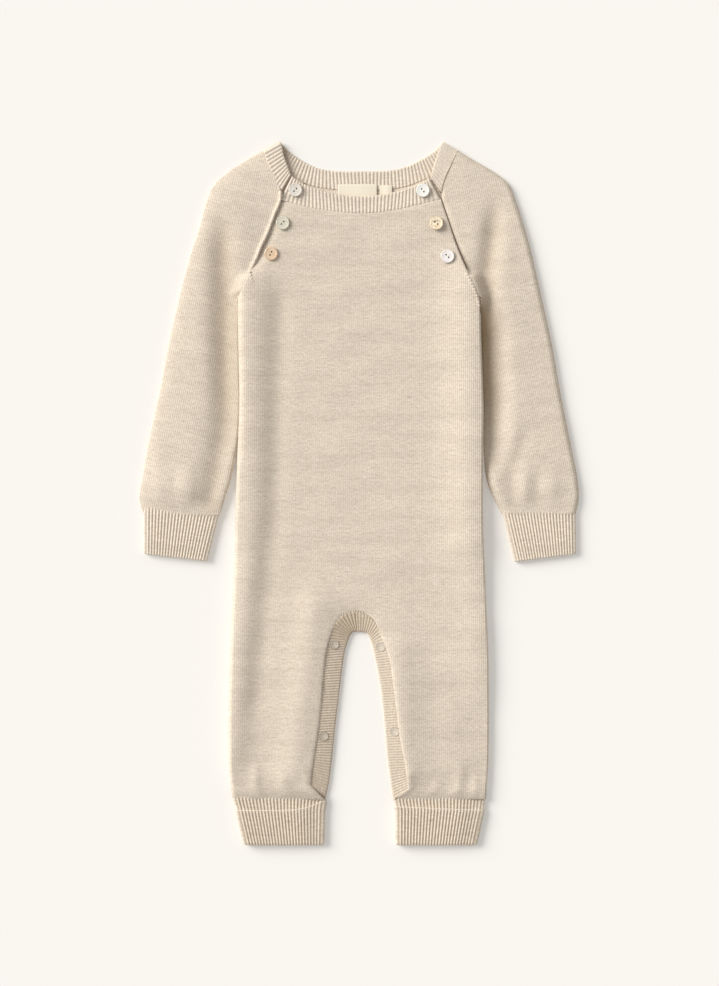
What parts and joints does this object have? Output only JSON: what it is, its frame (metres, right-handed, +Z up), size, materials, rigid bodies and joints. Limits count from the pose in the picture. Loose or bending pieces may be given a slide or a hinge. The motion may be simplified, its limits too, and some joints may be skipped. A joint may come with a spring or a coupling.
{
  "type": "knitted baby romper laid flat",
  "caption": "Long-sleeved knitted baby romper laid flat, with raglan sleeves, buttoned shoulder plackets, ribbed neckband, snap inner-leg bands and turned-up leg cuffs.",
  "frame": {"origin": "on the surface that the romper lies on, under the middle of its box", "axes": "+X towards the wearer's left side, +Y towards the neck, +Z up, out of the romper's front"},
  "size_m": [0.3849, 0.619, 0.0086],
  "materials": {
    "wool": "fine heathered stockinette knit",
    "rib_wool": "heathered rib knit",
    "shell": "polished mother-of-pearl",
    "clear_plastic": "translucent moulded plastic",
    "label_cloth": "woven satin ribbon"
  },
  "bodies": {
    "root": {"back_panel": "wool", "front_panel": "wool", "sleeve_right": "wool", "sleeve_left": "wool", "neckband_front": "rib_wool", "neckband_back": "rib_wool", "sleeve_cuff_right": "rib_wool", "sleeve_cuff_left": "rib_wool", "leg_cuff_right": "rib_wool", "leg_cuff_left": "rib_wool", "leg_band_front_right": "rib_wool", "leg_band_front_left": "rib_wool", "leg_band_back_right": "rib_wool", "leg_band_back_left": "rib_wool", "button_stand_right": "rib_wool", "button_stand_left": "rib_wool", "button_right_1": "shell", "button_right_2": "shell", "button_right_3": "shell", "button_left_1": "shell", "button_left_2": "shell", "button_left_3": "shell", "snap_cap_right_1": "clear_plastic", "snap_cap_right_2": "clear_plastic", "snap_cap_left_1": "clear_plastic", "snap_cap_left_2": "clear_plastic", "neck_label": "label_cloth", "size_label": "label_cloth"}
  },
  "joints": []
}
